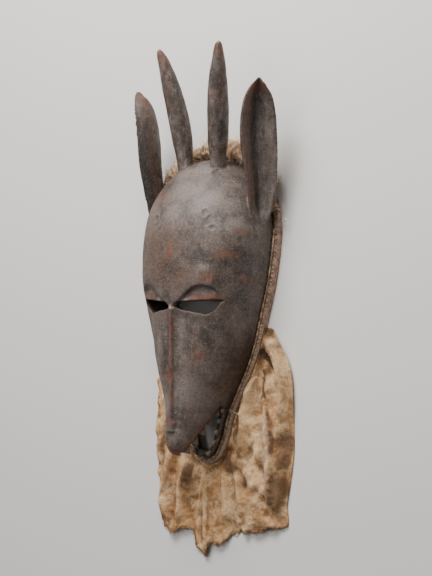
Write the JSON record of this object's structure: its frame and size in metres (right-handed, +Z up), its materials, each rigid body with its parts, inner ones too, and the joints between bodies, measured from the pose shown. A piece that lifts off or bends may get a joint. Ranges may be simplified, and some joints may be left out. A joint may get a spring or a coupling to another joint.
{
  "type": "ntomo mask",
  "caption": "Carved wooden animal-faced mask with upright horns and ears, pierced eye slits, an open toothed mouth and a hide-bound rim with a hanging neck cloth.",
  "frame": {"origin": "on the floor, under the middle of the part's bounding box, with the mask lying on its back on the bound edge of its rim", "axes": "+X towards the mask's own left ear, +Y from the chin towards the horns, +Z up, out of the face through the nose"},
  "size_m": [0.2134, 0.565, 0.092],
  "materials": {
    "wood": "dark brown-grey patina, worn to red-brown on the high edges",
    "hide": "rolled red-brown hide, dull",
    "cord": "thin pale twisted cord",
    "cloth": "worn tan cloth with dark brown stains"
  },
  "bodies": {
    "root": {"carved_face": "wood", "rim_binding": "hide", "edge_cord": "cord", "crown_bunch": "cloth", "neck_cloth": "cloth"}
  },
  "joints": []
}
